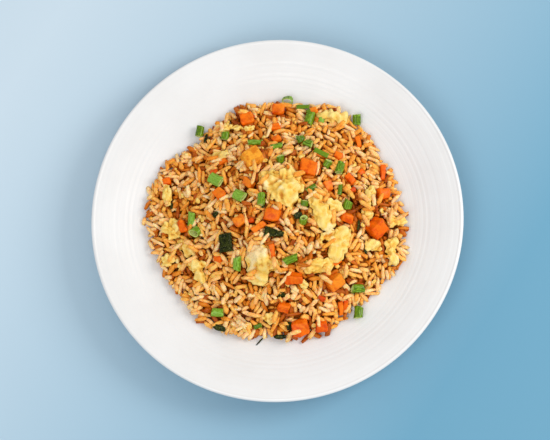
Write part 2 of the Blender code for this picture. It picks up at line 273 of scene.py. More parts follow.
def add_noise(tree, scale, detail=3.0, rough=0.55, stretch=(1, 1, 1)):
    """Noise on Object coordinates. A larger stretch squeezes the pattern along that axis."""
    place = tree.nodes.new("ShaderNodeTexCoord")
    mapping = tree.nodes.new("ShaderNodeMapping")
    mapping.inputs["Scale"].default_value = stretch
    texture = tree.nodes.new("ShaderNodeTexNoise")
    texture.inputs["Scale"].default_value = scale
    texture.inputs["Detail"].default_value = detail
    texture.inputs["Roughness"].default_value = rough
    tree.links.new(place.outputs["Object"], mapping.inputs["Vector"])
    tree.links.new(mapping.outputs["Vector"], texture.inputs["Vector"])
    return texture.outputs["Fac"]


def add_attribute(tree, name):
    """A number that the mesh carries at every point."""
    reader = tree.nodes.new("ShaderNodeAttribute")
    reader.attribute_name = name
    return reader.outputs["Fac"]


def add_ramp(tree, factor, *stops):
    """Colours or greys along a factor; each stop is (position, colour)."""
    ramp = tree.nodes.new("ShaderNodeValToRGB")
    while len(ramp.color_ramp.elements) < len(stops):
        ramp.color_ramp.elements.new(0.5)
    for element, (position, colour) in zip(ramp.color_ramp.elements, stops):
        element.position = position
        element.color = (*colour, 1) if isinstance(colour, tuple) else (colour, colour, colour, 1)
    tree.links.new(factor, ramp.inputs["Fac"])
    return ramp.outputs["Color"]


def add_blend(tree, factor, first, second, mode="MIX"):
    """Mixes two colours; factor, first and second are sockets or plain values."""
    mix = tree.nodes.new("ShaderNodeMix")
    mix.data_type = "RGBA"
    mix.blend_type = mode
    for socket, value in ((mix.inputs[0], factor), (mix.inputs[6], first), (mix.inputs[7], second)):
        if isinstance(value, bpy.types.NodeSocket):
            tree.links.new(value, socket)
        else:
            socket.default_value = (*value, 1) if isinstance(value, tuple) else value
    return mix.outputs[2]


def add_bump(tree, shader, height, strength, distance):
    """Fine relief on the shader's normal; distance is the relief's height in metres."""
    bump = tree.nodes.new("ShaderNodeBump")
    bump.inputs["Strength"].default_value = strength
    bump.inputs["Distance"].default_value = distance
    tree.links.new(height, bump.inputs["Height"])
    tree.links.new(bump.outputs["Normal"], shader.inputs["Normal"])


# %% [markdown]
# ## Small helpers for pieces
# A finished piece sits at the origin with its place in its mesh, rides on the part's one body, and
# hides the imported nodes it stands for. A imported mesh is loose triangles, so a copy is merged
# before anything is bevelled or subdivided.

# %% Piece helpers
def add_piece(name, bm, material, slot, *stands_for):
    """Turns a bmesh into a finished, smooth-shaded piece of the dish."""
    mesh = bpy.data.meshes.new(name)
    bm.to_mesh(mesh)
    bm.free()
    return add_mesh(name, mesh, material, slot, *stands_for)


def add_mesh(name, mesh, material, slot, *stands_for):
    mesh.shade_smooth()
    mesh.materials.append(material)
    piece = bpy.data.objects.new(name, mesh)
    bpy.context.scene.collection.objects.link(piece)
    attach(piece, "root")
    if stands_for:
        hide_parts(*stands_for)
    return piece


def merged_copy(node, flat_within):
    """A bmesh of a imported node: one skin, with pairs of triangles joined where they are nearly flat."""
    bm = bmesh.new()
    bm.from_mesh(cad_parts[node].data)
    bmesh.ops.remove_doubles(bm, verts=bm.verts, dist=0.01 * MM)
    bmesh.ops.join_triangles(
        bm,
        faces=bm.faces,
        angle_face_threshold=math.radians(flat_within),
        angle_shape_threshold=math.radians(120),
    )
    return bm


def add_to(bm, part, placed):
    """Adds a placed copy of one bmesh to another, and keeps its attributes."""
    scratch = bpy.data.meshes.new("scratch")
    part.to_mesh(scratch)
    scratch.transform(placed)
    bm.from_mesh(scratch)
    bpy.data.meshes.remove(scratch)


def nodes_named(start):
    return sorted(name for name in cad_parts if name.startswith(start))


print(len(nodes_named("egg")), "curds,", len(nodes_named("scallion")), "scallions")

# %% [markdown]
# ## Floor
# A plain pale sheet, larger than the view. It is a stage, not a part of the dish.
# Its blue is painted darker towards one corner: painted shade, as on a paper sweep where the light falls
# off.

# %% Floor
FLOOR_SIZE = 3.0


def build_floor():
    bm = bmesh.new()
    bmesh.ops.create_grid(bm, x_segments=1, y_segments=1, size=FLOOR_SIZE / 2)
    mesh = bpy.data.meshes.new("floor")
    bm.to_mesh(mesh)
    bm.free()
    material, tree, shader = new_finish("floor_paper", 0.85)
    place = tree.nodes.new("ShaderNodeTexCoord")
    slant = tree.nodes.new("ShaderNodeVectorMath")
    slant.operation = "DOT_PRODUCT"
    slant.inputs[1].default_value = (2.15, -1.35, 0)
    centre = tree.nodes.new("ShaderNodeMath")
    centre.operation = "ADD"
    centre.inputs[1].default_value = 0.58
    tree.links.new(place.outputs["Object"], slant.inputs[0])
    tree.links.new(slant.outputs["Value"], centre.inputs[0])
    # Painted shade: the deep blue stands for the light falling off towards one corner.
    pale, deep = (0.57, 0.69, 0.775), (0.135, 0.335, 0.475)
    blue = add_ramp(tree, centre.outputs["Value"], (0.0, pale), (1.0, deep))
    tree.links.new(blue, shader.inputs["Base Color"])
    mesh.materials.append(material)
    floor = bpy.data.objects.new("floor", mesh)
    bpy.context.scene.collection.objects.link(floor)
    floor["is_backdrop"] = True


build_floor()

# %% [markdown]
# ## Plate
# The real plate is thrown or pressed on a wheel: a rib leaves fine rings that the glaze softens.
# A turned thing is a half section spun round its axis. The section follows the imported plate, with
# rings a few hundredths of a millimetre deep added to it, so they catch the light as geometry.

# %% Throwing lines
RING_START = 60 * MM
RING_PITCH = 1.6 * MM
RING_WIDTH = 0.42 * MM
BROAD_RINGS = (  # (share of the plate's radius, height in mm, width in mm)
    (0.740, -0.07, 1.0),
    (0.785, -0.06, 0.9),
    (0.802, 0.05, 0.8),
    (0.813, -0.05, 0.8),
    (0.827, 0.05, 0.9),
    (0.872, -0.08, 1.0),
    (0.915, -0.04, 0.9),
    (0.955, -0.07, 0.9),
)


def throwing_lines():
    """(radius, height, width) of each ring, in metres."""
    draw = random.Random(11)
    rings = [(share * PLATE_RADIUS, height * MM, width * MM) for share, height, width in BROAD_RINGS]
    radius = RING_START
    number = 0
    while radius < PLATE_RADIUS - 5 * MM:
        deeper = 1.8 if number % 2 else 1.0
        rings.append((radius, -draw.uniform(0.012, 0.032) * deeper * MM, RING_WIDTH))
        radius += RING_PITCH * draw.uniform(0.75, 1.25)
        number += 1
    return rings


RINGS = throwing_lines()


def ring_relief(radius):
    total = 0.0
    for middle, height, width in RINGS:
        away = (radius - middle) / width
        if abs(away) < 3:
            total += height * math.exp(-away * away)
    return total


print(len(RINGS), "rings")

# %% Half section of the plate
LIP_THICKNESS = 3.6 * MM
WALL = 5.5 * MM
FOOT_OUTER = 78 * MM
FOOT_INNER = 71 * MM
FOOT_RECESS = 3.2 * MM
FINE_STEP = 0.42 * MM


def lip_arc(lip, middle):
    """The rounded lip, from its inner side over the top to its outer side."""
    half = LIP_THICKNESS / 2
    arc = []
    for angle in range(104, -75, -18):
        turn = math.radians(angle)
        arc.append((middle + half * math.cos(turn), lip - half + half * math.sin(turn)))
    return arc


def foot_section():
    """The foot ring: rounded where it meets the underside and where it stands."""
    outer = [(FOOT_OUTER + 6 * MM, plate_top(FOOT_OUTER) - WALL + 0.3 * MM)]
    outer += [(FOOT_OUTER + 1.4 * MM, plate_top(FOOT_OUTER) - WALL - 0.4 * MM)]
    outer += [(FOOT_OUTER + 0.5 * MM, 1.6 * MM), (FOOT_OUTER - 0.4 * MM, 0.4 * MM)]
    stand = [(FOOT_OUTER - 1.4 * MM, 0.0), (FOOT_INNER + 1.2 * MM, 0.0)]
    inner = [(FOOT_INNER + 0.2 * MM, 0.5 * MM), (FOOT_INNER - 1.6 * MM, FOOT_RECESS)]
    return outer + stand + inner + [(FOOT_INNER - 12 * MM, FOOT_RECESS), (0.0, FOOT_RECESS)]


def plate_section():
    section = [(radius * MM, plate_top(radius * MM)) for radius in (0, 20, 40, 52)]
    radius = RING_START
    while radius < PLATE_RADIUS - 2.5 * MM:
        section.append((radius, plate_top(radius) + ring_relief(radius)))
        radius += FINE_STEP
    section += lip_arc(plate_top(PLATE_RADIUS), PLATE_RADIUS - LIP_THICKNESS / 2)
    for radius in (130, 124, 116, 108, 100, 92):
        section.append((radius * MM, plate_top(radius * MM) - WALL))
    return section + foot_section()


print(len(plate_section()), "points in the half section")

# %% Glaze
def glaze_finish():
    """White glaze: a faint warm cast, a soft gloss and the slight ripple of a fired surface."""
    material, tree, shader = new_finish("white_glaze", 0.34)
    clouds = add_noise(tree, 22, 3.0)
    cast = add_ramp(tree, clouds, (0.35, (0.765, 0.755, 0.74)), (0.65, (0.80, 0.795, 0.785)))
    tree.links.new(cast, shader.inputs["Base Color"])
    wear = add_ramp(tree, add_noise(tree, 260, 4.0), (0.3, 0.30), (0.7, 0.42))
    tree.links.new(wear, shader.inputs["Roughness"])
    shader.inputs["Coat Weight"].default_value = 0.25
    shader.inputs["Coat Roughness"].default_value = 0.16
    add_bump(tree, shader, add_noise(tree, 420, 3.0), 0.25, 0.05 * MM)
    return material


# %% Spin the plate
PLATE_STEPS = 256


def build_plate():
    bm = bmesh.new()
    corners = [bm.verts.new((radius, 0, height)) for radius, height in plate_section()]
    edges = [bm.edges.new(pair) for pair in zip(corners, corners[1:])]
    bmesh.ops.spin(
        bm,
        geom=corners + edges,
        cent=(0, 0, 0),
        axis=(0, 0, 1),
        angle=2 * math.pi,
        steps=PLATE_STEPS,
        use_merge=True,
    )
    bmesh.ops.remove_doubles(bm, verts=bm.verts, dist=0.002 * MM)
    bmesh.ops.recalc_face_normals(bm, faces=bm.faces)
    print("plate:", len(bm.faces), "faces")
    return add_piece("turned_plate", bm, glaze_finish(), "plate_glaze", "plate")


build_plate()

# %% [markdown]
# ## Carrot
# The cook dices carrot by hand, then fries it: cut faces stay flat, and edges soften and shine.
# Each packed cube is merged, bevelled and subdivided, and its faces are roughened a little. A number
# carried by each piece sets how ripe or pale its orange is; painted light on top of it makes each cube
# paler on top and on the side towards the key light, and darker low down.

# %% Carrot finish
CARROT_RED = (0.60, 0.035, 0.001)
CARROT_ORANGE = (0.95, 0.155, 0.001)
CARROT_PALE = (0.97, 0.40, 0.030)


def carrot_finish():
    material, tree, shader = new_finish("carrot_cut", 0.36)
    tone = add_attribute(tree, "tone")
    body = add_ramp(
        tree, tone, (0.0, CARROT_RED), (0.45, CARROT_ORANGE), (0.85, CARROT_PALE)
    )
    fibre = add_ramp(tree, add_noise(tree, 700, 3.0), (0.35, 0.80), (0.7, 1.0))
    colour = add_blend(tree, 1.0, body, fibre, "MULTIPLY")
    stain = add_ramp(tree, add_noise(tree, 230, 3.0), (0.36, (0.80, 0.55, 0.3)), (0.52, (1.0, 1.0, 1.0)))
    colour = add_blend(tree, 1.0, colour, stain, "MULTIPLY")
    tree.links.new(colour, shader.inputs["Base Color"])
    shader.inputs["Specular IOR Level"].default_value = 0.14
    shader.inputs["Subsurface Weight"].default_value = 0.1
    shader.inputs["Subsurface Radius"].default_value = (1.0, 0.3, 0.05)
    shader.inputs["Subsurface Scale"].default_value = 1.2 * MM
    add_bump(tree, shader, add_noise(tree, 900, 3.0), 0.5, 0.18 * MM)
    return material


CARROT = carrot_finish()

# %% Cut, soften and tone the cubes
CARROT_TONES = {3: 0.86, 14: 0.62, 11: 0.42, 8: 0.6, 6: 0.55, 17: 0.3, 2: 0.5, 5: 0.5}
TOPPINGS = []


def roughen(bm, size, depth):
    """Moves every point along its normal by smooth noise of this size and depth."""
    bm.normal_update()
    moves = [(v, v.normal * noise.noise(v.co / size) * depth) for v in bm.verts]
    for vertex, move in moves:
        vertex.co += move


def set_tone(bm, tone_of):
    """Stores a number on every point, worked out from the point."""
    layer = bm.verts.layers.float.get("tone") or bm.verts.layers.float.new("tone")
    for vertex in bm.verts:
        vertex[layer] = tone_of(vertex)


def cut_cube(bm, softness):
    """Rounds a cube's edges, then gives its faces enough points for a knife's unevenness."""
    bmesh.ops.bevel(
        bm,
        geom=bm.edges[:],
        offset=softness,
        offset_type="OFFSET",
        segments=3,
        profile=0.5,
        affect="EDGES",
        material=-1,
        clamp_overlap=True,
    )
    bmesh.ops.subdivide_edges(bm, edges=bm.edges[:], cuts=2, use_grid_fill=True)
    roughen(bm, 5.0 * MM, 1.3 * MM)


def build_carrots():
    for node in nodes_named("carrot_dice"):
        number = int(node[-2:])
        bm = merged_copy(node, 40)
        cut_cube(bm, 1.3 * MM)
        base = CARROT_TONES.get(number, 0.45)
        low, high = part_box(node)

        # Painted light and shade: paler towards the top and the +X +Y side, where the key light stands.
        def tone_of(vertex, base=base, low=low, high=high):
            rise = (vertex.co.z - low.z) / (high.z - low.z)
            lean = (vertex.co.x - low.x) / (high.x - low.x) + (vertex.co.y - low.y) / (high.y - low.y)
            return base + 0.16 * (rise - 0.6) + 0.09 * (lean - 1)

        set_tone(bm, tone_of)
        TOPPINGS.append(add_piece(f"cut_{node}", bm, CARROT, "carrot", node))


build_carrots()
print(len(TOPPINGS), "carrot cubes")

# %% [markdown]
# ## Scallion
# Rings and short lengths of green onion: thin tubes, waxy and ribbed outside, pale and wet inside.
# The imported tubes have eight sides. Creased rims and a subdivision surface make them round, and
# each point carries whether it is on the outer skin or the inner wall, so one finish colours both.

# %% Scallion finish
GREEN_DARK = (0.075, 0.150, 0.001)
GREEN_MIDDLE = (0.165, 0.290, 0.003)
GREEN_LIGHT = (0.270, 0.490, 0.050)
GREEN_INNER = (0.620, 0.700, 0.220)


def scallion_finish():
    material, tree, shader = new_finish("scallion_green", 0.33)
    skin = add_ramp(
        tree,
        add_attribute(tree, "tone"),
        (0.0, GREEN_DARK),
        (0.5, GREEN_MIDDLE),
        (1.0, GREEN_LIGHT),
    )
    mottle = add_ramp(tree, add_noise(tree, 900, 3.0), (0.3, 0.72), (0.7, 1.0))
    skin = add_blend(tree, 1.0, skin, mottle, "MULTIPLY")
    wall = add_ramp(tree, add_attribute(tree, "outside"), (0.25, 1.0), (0.8, 0.0))
    colour = add_blend(tree, wall, skin, GREEN_INNER)
    tree.links.new(colour, shader.inputs["Base Color"])
    shader.inputs["Specular IOR Level"].default_value = 0.2
    shader.inputs["Subsurface Weight"].default_value = 0.1
    shader.inputs["Subsurface Radius"].default_value = (0.5, 1.0, 0.2)
    shader.inputs["Subsurface Scale"].default_value = 1.0 * MM
    shader.inputs["Coat Weight"].default_value = 0.08
    shader.inputs["Coat Roughness"].default_value = 0.18
    add_bump(tree, shader, add_noise(tree, 1100, 2.0), 0.35, 0.12 * MM)
    return material


SCALLION = scallion_finish()

# %% Round off the tubes
SCALLION_TONES = (  # of scallion_01, scallion_02 and so on: 0 is the darkest green
    0.25, 0.45, 0.60, 0.50, 0.25, 0.35, 0.55, 0.30, 0.70, 0.45, 0.42, 0.35, 1.00,
    0.90, 0.50, 0.85, 0.60, 0.30, 0.70, 0.40, 0.85, 0.45, 0.40, 0.30, 0.80,
)  # fmt: skip
STRIPES = 3.0
STRIPE_CONTRAST = 1.1


def tube_axis(bm):
    """The direction that the tube's long faces avoid with their normals."""
    bm.normal_update()
    spread = np.zeros((3, 3))
    for face in bm.faces:
        spread += np.outer(face.normal, face.normal) * face.calc_area()
    return Vector(np.linalg.eigh(spread)[1][:, 0])


def prepare_tube(bm, tone, plumper):
    """Marks outside and inside, creases the rims and makes up for what smoothing will shrink."""
    axis = tube_axis(bm)
    centre = sum((vertex.co for vertex in bm.verts), Vector()) / len(bm.verts)
    outside = bm.verts.layers.float.new("outside")
    crease = bm.edges.layers.float.new("crease_edge")
    for vertex in bm.verts:
        spoke = vertex.co - centre
        spoke -= axis * spoke.dot(axis)
        vertex[outside] = 1.0 if vertex.normal.dot(spoke) > 0 else 0.0
        vertex.co += spoke * plumper
    for edge in bm.edges:
        rims = [abs(face.normal.dot(axis)) > 0.6 for face in edge.link_faces]
        if len(rims) == 2 and rims[0] != rims[1]:
            edge[crease] = 0.55
    set_tone(bm, lambda vertex: tone)


def smoothed(bm, levels):
    """The bmesh that a subdivision surface of this many levels gives."""
    mesh = bpy.data.meshes.new("cage")
    bm.to_mesh(mesh)
    bm.free()
    cage = bpy.data.objects.new("cage", mesh)
    bpy.context.scene.collection.objects.link(cage)
    surface = cage.modifiers.new("round", "SUBSURF")
    surface.levels = levels
    surface.render_levels = levels
    fine = bmesh.new()
    fine.from_object(cage, bpy.context.evaluated_depsgraph_get())
    bpy.data.objects.remove(cage)
    bpy.data.meshes.remove(mesh)
    return fine


def stripe(bm, tone, seed):
    """Paler and darker stripes along the tube, where the leaf has its veins."""
    axis = tube_axis(bm)
    across = axis.orthogonal()
    beside = axis.cross(across)
    centre = sum((vertex.co for vertex in bm.verts), Vector()) / len(bm.verts)
    layer = bm.verts.layers.float["tone"]
    for vertex in bm.verts:
        spoke = (vertex.co - centre).normalized()
        place = Vector((spoke.dot(across) * STRIPES, spoke.dot(beside) * STRIPES, seed))
        vertex[layer] = tone + STRIPE_CONTRAST * noise.noise(place)


def build_scallions():
    for number, (node, tone) in enumerate(zip(nodes_named("scallion"), SCALLION_TONES)):
        bm = merged_copy(node, 35)
        prepare_tube(bm, tone, 0.02)
        fine = smoothed(bm, 3)
        stripe(fine, tone, number)
        roughen(fine, 2.2 * MM, 0.35 * MM)
        TOPPINGS.append(add_piece(f"green_{node}", fine, SCALLION, "scallion", node))


build_scallions()
print(len(nodes_named("scallion")), "scallion pieces")

# %% [markdown]
# ## Egg
# Scrambled egg sets in soft folds, with a few whitish patches where the white was not mixed in.
# The imported curds are smooth, so each copy is subdivided and pushed about by three noises: rolls,
# sharp creases and a fine lace. What the noises did is kept on the points as painted light and
# shade, which the finish reads for the colour: paler where the curd stands up, deeper yellow in its
# creases.

# %% Egg finish
EGG_CREASE_SHADE = (0.74, 0.30, 0.020)
EGG_BODY = (0.94, 0.58, 0.090)
EGG_CROWN_LIGHT = (0.97, 0.73, 0.23)
EGG_WHITE = (0.94, 0.80, 0.44)
EGG_PALE = (0.97, 0.73, 0.36)


def egg_finish():
    material, tree, shader = new_finish("egg_curd", 0.38)
    # Painted light and shade: the crown colour lights what stands up, the crease colour shades the
    # creases.
    folds = add_ramp(
        tree,
        add_attribute(tree, "tone"),
        (0.12, EGG_CREASE_SHADE),
        (0.45, EGG_BODY),
        (0.85, EGG_CROWN_LIGHT),
    )
    patches = add_ramp(tree, add_noise(tree, 85, 2.0), (0.60, 0.0), (0.70, 0.7))
    colour = add_blend(tree, patches, folds, EGG_WHITE)
    colour = add_blend(tree, add_attribute(tree, "unmixed"), colour, EGG_PALE)
    grain = add_ramp(tree, add_noise(tree, 800, 3.0), (0.3, 0.90), (0.7, 1.0))
    colour = add_blend(tree, 1.0, colour, grain, "MULTIPLY")
    tree.links.new(colour, shader.inputs["Base Color"])
    shader.inputs["Specular IOR Level"].default_value = 0.3
    shader.inputs["Subsurface Weight"].default_value = 0.12
    shader.inputs["Subsurface Radius"].default_value = (1.0, 0.7, 0.3)
    shader.inputs["Subsurface Scale"].default_value = 1.0 * MM
    shader.inputs["Coat Weight"].default_value = 0.08
    shader.inputs["Coat Roughness"].default_value = 0.25
    add_bump(tree, shader, add_noise(tree, 700, 4.0), 0.8, 0.5 * MM)
    return material


EGG = egg_finish()

# %% Fold the curds
FOLD_SIZE = 8.0 * MM
FOLD_DEPTH = 1.5 * MM
CREASE_SIZE = 10.0 * MM
CREASE_DEPTH = 1.6 * MM
LACE_SIZE = 3.0 * MM
LACE_DEPTH = 1.5 * MM


def egg_noise(point, size, seed):
    """Smooth noise from -1 to 1, different for every curd."""
    place = point / size + Vector((7.3 * seed, 1.9 * seed, 4.1 * seed))
    return max(-1.0, min(1.0, 1.6 * noise.noise(place)))


def crumple(bm, seed, share=1.0):
    """Folds a curd; share scales the folds down for a small one."""
    bm.normal_update()
    tone = bm.verts.layers.float.new("tone")
    moves = []
    for vertex in bm.verts:
        fold = egg_noise(vertex.co, FOLD_SIZE * share, seed)
        crease = (1 - abs(egg_noise(vertex.co, CREASE_SIZE * share, seed + 0.3))) ** 7
        lace = egg_noise(vertex.co, LACE_SIZE * share, seed + 0.6)
        push = (fold * FOLD_DEPTH - crease * CREASE_DEPTH + lace * LACE_DEPTH) * share
        moves.append((vertex, vertex.normal * push))
        # Painted light and shade: the tone rises where the noise pushes the curd out and falls in the
        # creases.
        vertex[tone] = 0.64 + 0.18 * fold - 0.40 * crease + 0.26 * lace
    for vertex, move in moves:
        vertex.co += move


def mark_unmixed(bm, corner, reach):
    """Marks the points near a corner, where the white was not mixed with the yolk."""
    layer = bm.verts.layers.float.new("unmixed")
    for vertex in bm.verts:
        away = (vertex.co.xy - corner).length / reach
        ragged = away + 0.35 * egg_noise(vertex.co, LACE_SIZE * 1.5, 9)
        vertex[layer] = float(smooth_step((1.0 - ragged) * 2.5))


def build_eggs():
    for node in nodes_named("egg_curd"):
        bm = merged_copy(node, 1)
        bmesh.ops.subdivide_edges(bm, edges=bm.edges[:], cuts=4, smooth=0.6, use_grid_fill=True)
        crumple(bm, int(node[-2:]))
        low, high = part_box(node)
        overshoot = max(vertex.co.z for vertex in bm.verts) - high.z
        bmesh.ops.translate(bm, vec=(0, 0, -max(0.0, overshoot)), verts=bm.verts)
        if node == "egg_curd_02":
            mark_unmixed(bm, Vector((0.75 * low.x + 0.25 * high.x, 0.2 * low.y + 0.8 * high.y)), 9 * MM)
        TOPPINGS.append(add_piece(f"soft_{node}", bm, EGG, "egg", node))


build_eggs()
print(len(nodes_named("egg_curd")), "curds")

# %% [markdown]
# ## Dark leaves
# Two torn pieces of a dark green leaf lie on the rice, blistered, oily and nearly black in places.

# %% Leaf finish and leaves
LEAF_DARK = (0.006, 0.009, 0.001)
LEAF_GREEN = (0.034, 0.040, 0.003)
LEAF_SPECK = (0.30, 0.30, 0.10)


def leaf_finish():
    material, tree, shader = new_finish("wilted_leaf", 0.32)
    colour = add_ramp(tree, add_noise(tree, 480, 3.0), (0.38, LEAF_DARK), (0.62, LEAF_GREEN))
    specks = add_ramp(tree, add_noise(tree, 1500, 1.0), (0.64, 0.0), (0.70, 0.7))
    colour = add_blend(tree, specks, colour, LEAF_SPECK)
    tree.links.new(colour, shader.inputs["Base Color"])
    shader.inputs["Specular IOR Level"].default_value = 0.08
    add_bump(tree, shader, add_noise(tree, 900, 3.0), 0.6, 0.25 * MM)
    return material


LEAF = leaf_finish()


def build_leaves():
    for node in nodes_named("dark_leaf"):
        bm = merged_copy(node, 30)
        bmesh.ops.subdivide_edges(bm, edges=bm.edges[:], cuts=3, use_grid_fill=True)
        roughen(bm, 2.5 * MM, 0.9 * MM)
        TOPPINGS.append(add_piece(f"wilted_{node}", bm, LEAF, "leaf", node))


build_leaves()

# %% [markdown]
# ## Small bits
# Between the large pieces lie shreds of carrot, slips of scallion, torn herb and crumbs of egg.
# Each kind is one joined mesh. A bit is modelled flat at the origin, then a copy of it is placed on
# the surface with its own turn and tilt, sunk a little so that the grains hold it.

# %% Place a bit on the surface
def bit_place(x, y, turn, tilt=0.0, lift=0.0):
    """Matrix for a bit at x, y in mm: turned on the surface, then tilted about its own length."""
    turned = Matrix.Rotation(math.radians(turn), 4, "Z")
    tilted = Matrix.Rotation(math.radians(tilt), 4, "X")
    return surface_frame(x * MM, y * MM, lift * MM) @ turned @ tilted


# %% Carrot shreds
CARROT_BITS = (  # (x, y, length, width, height in mm, turn, tilt, tone)
    (-1.5, 67.6, 7.0, 5.0, 4.5, 10, 10, 0.45),
    (-11.0, -13.0, 11.0, 4.5, 4.0, 35, 8, 0.50),
    (77.0, 34.0, 3.5, 11.0, 4.0, 4, 10, 0.34),
    (46.5, -67.0, 3.2, 10.0, 3.5, 6, 0, 0.50),
    (-1.7, -30.0, 3.4, 10.5, 3.5, 10, 6, 0.44),
    (38.0, 19.0, 6.0, 7.5, 4.5, 24, 12, 0.50),
    (-0.3, 57.2, 6.5, 4.5, 3.5, 30, 5, 0.52),
    (44.7, 44.3, 6.0, 5.0, 4.0, -20, 8, 0.46),
    (53.4, 26.3, 8.0, 5.0, 4.0, -42, 10, 0.40),
    (26.3, 81.5, 5.5, 5.0, 4.0, 12, 0, 0.55),
    (59.0, 57.5, 3.6, 8.0, 3.5, 18, 0, 0.50),
    (-41.9, -33.1, 6.0, 4.5, 3.4, -8, 10, 0.34),
    (55.2, 17.1, 4.5, 3.4, 3.0, 30, 0, 0.12),
    (32.5, -60.8, 5.5, 3.2, 3.0, -35, 0, 0.10),
    (-17.5, -8.6, 4.5, 3.0, 3.0, 22, 0, 0.12),
    (-39.6, 40.5, 6.5, 4.2, 3.4, 34, 10, 0.48),
    (-46.0, 32.2, 5.5, 4.0, 3.2, -12, 0, 0.32),
    (61.3, 32.2, 5.0, 4.2, 3.4, 46, 0, 0.36),
    (-81.3, 28.4, 5.5, 5.0, 4.0, 14, 0, 0.42),
    (44.1, -36.2, 6.5, 4.2, 3.2, 44, 0, 0.48),
    (49.4, -64.5, 3.2, 7.5, 3.5, -12, 0, 0.40),
)


def build_carrot_shreds():
    shreds = bmesh.new()
    for x, y, length, width, height, turn, tilt, tone in CARROT_BITS:
        bm = bmesh.new()
        bmesh.ops.create_cube(bm, size=1)
        bmesh.ops.scale(bm, vec=Vector((length, width, height)) * MM, verts=bm.verts)
        cut_cube(bm, 0.8 * MM)
        # Painted light: each shred is paler towards its top.
        set_tone(bm, lambda vertex, tone=tone: tone + 30 * vertex.co.z)
        add_to(shreds, bm, bit_place(x, y, turn, tilt, -0.15 * height))
        bm.free()
    TOPPINGS.append(add_piece("carrot_shreds", shreds, CARROT, "carrot"))


build_carrot_shreds()
print(len(CARROT_BITS), "shreds of carrot")

# %% Scallion slips
SCALLION_BITS = (  # (x, y, length, diameter in mm, flatness, turn, rise, tone)
    (18.5, 84.5, 9.5, 4.2, 0.55, 2, 0, 0.35),
    (23.0, 80.0, 4.0, 3.6, 0.60, -75, 0, 0.30),
    (32.5, 74.5, 5.5, 4.6, 0.80, 75, 10, 0.95),
    (32.5, 45.0, 11.0, 4.4, 0.55, -22, 0, 0.45),
    (21.4, 4.0, 3.6, 5.4, 0.80, 85, 30, 0.25),
    (-13.0, -79.4, 6.0, 3.4, 0.50, 20, 0, 0.15),
    (46.4, 16.8, 8.5, 3.2, 0.50, 84, 0, 0.20),
)


def build_scallion_slips():
    slips = bmesh.new()
    for x, y, length, diameter, flatness, turn, rise, tone in SCALLION_BITS:
        bm = bmesh.new()
        bmesh.ops.create_cone(
            bm,
            cap_ends=False,
            segments=14,
            radius1=diameter * MM / 2,
            radius2=diameter * MM / 2,
            depth=length * MM,
            matrix=Matrix.Rotation(math.radians(90), 4, "Y"),
        )
        bmesh.ops.scale(bm, vec=(1, 1, flatness), verts=bm.verts)
        bmesh.ops.recalc_face_normals(bm, faces=bm.faces)
        bmesh.ops.solidify(bm, geom=bm.faces[:], thickness=0.7 * MM)
        prepare_tube(bm, tone, 0.0)
        fine = smoothed(bm, 2)
        roughen(fine, 2.2 * MM, 0.3 * MM)
        raised = Matrix.Rotation(math.radians(-rise), 4, "Y")
        add_to(slips, fine, bit_place(x, y, turn, 0, 0.1 * diameter) @ raised)
        fine.free()
    TOPPINGS.append(add_piece("scallion_slips", slips, SCALLION, "scallion"))


build_scallion_slips()
print(len(SCALLION_BITS), "slips of scallion")

# %% Torn herb
HERB_BITS = (  # (x, y, length, width in mm, turn, tilt)
    (16.8, -5.0, 6.5, 5.0, 20, 10),
    (9.7, -79.4, 6.0, 4.0, 80, 15),
    (2.7, -86.6, 9.0, 3.4, 4, -15),
    (-41.0, -80.0, 9.0, 4.6, -18, -10),
    (4.8, -59.4, 5.5, 4.0, 0, 10),
    (-11.9, -89.0, 8.0, 1.1, 48, 0),
    (-76.7, 9.3, 4.5, 2.0, 80, 10),
    (-43.0, -1.0, 4.6, 4.0, 30, 0),
    (-52.8, 61.1, 7.0, 2.2, 75, 10),
    (59.1, -8.8, 7.5, 2.2, 82, 10),
    (-8.0, 1.5, 3.0, 1.6, 40, 0),
    (64.0, -27.0, 3.5, 1.8, 120, 0),
)


def build_herbs():
    herbs = bmesh.new()
    for x, y, length, width, turn, tilt in HERB_BITS:
        bm = bmesh.new()
        bmesh.ops.create_grid(bm, x_segments=8, y_segments=4, size=0.5)
        bmesh.ops.scale(bm, vec=(length * MM, width * MM, 1), verts=bm.verts)
        for vertex in bm.verts:
            end = (2 * vertex.co.x / (length * MM)) ** 2
            vertex.co.y *= 1 - 0.45 * end
            vertex.co.z = 0.12 * width * MM * math.sin(9 * vertex.co.x / (length * MM) + x)
        bmesh.ops.recalc_face_normals(bm, faces=bm.faces)
        bmesh.ops.solidify(bm, geom=bm.faces[:], thickness=0.45 * MM)
        add_to(herbs, bm, bit_place(x, y, turn, tilt, 0.5))
        bm.free()
    TOPPINGS.append(add_piece("torn_herbs", herbs, LEAF, "leaf"))


build_herbs()
print(len(HERB_BITS), "bits of herb")

# %% Egg crumbs
EGG_BITS = (  # (x, y, length, width, height in mm, turn)
    (-78.7, -30.7, 10.0, 9.0, 5.0, 20),
    (-42.0, 45.0, 16.0, 9.0, 5.0, 10),
    (-80.0, 17.7, 7.0, 17.0, 4.5, 6),
    (19.9, -51.4, 7.0, 5.0, 4.0, -30),
    (49.0, -43.2, 7.5, 6.0, 4.0, 40),
    (-20.9, -80.1, 8.0, 6.0, 4.5, 0),
    (-4.2, -74.3, 10.0, 7.0, 4.5, 20),
    (-37.4, 68.4, 10.0, 6.5, 4.5, 12),
    (-29.0, 67.8, 9.0, 5.5, 4.0, -10),
    (-20.5, 66.4, 8.0, 5.0, 4.0, 5),
    (42.5, 3.0, 13.0, 9.0, 5.0, -60),
    (38.0, -18.0, 13.0, 9.0, 4.5, 30),
    (-74.0, -5.0, 13.0, 9.0, 4.5, -45),
)
CRUMBS = 80


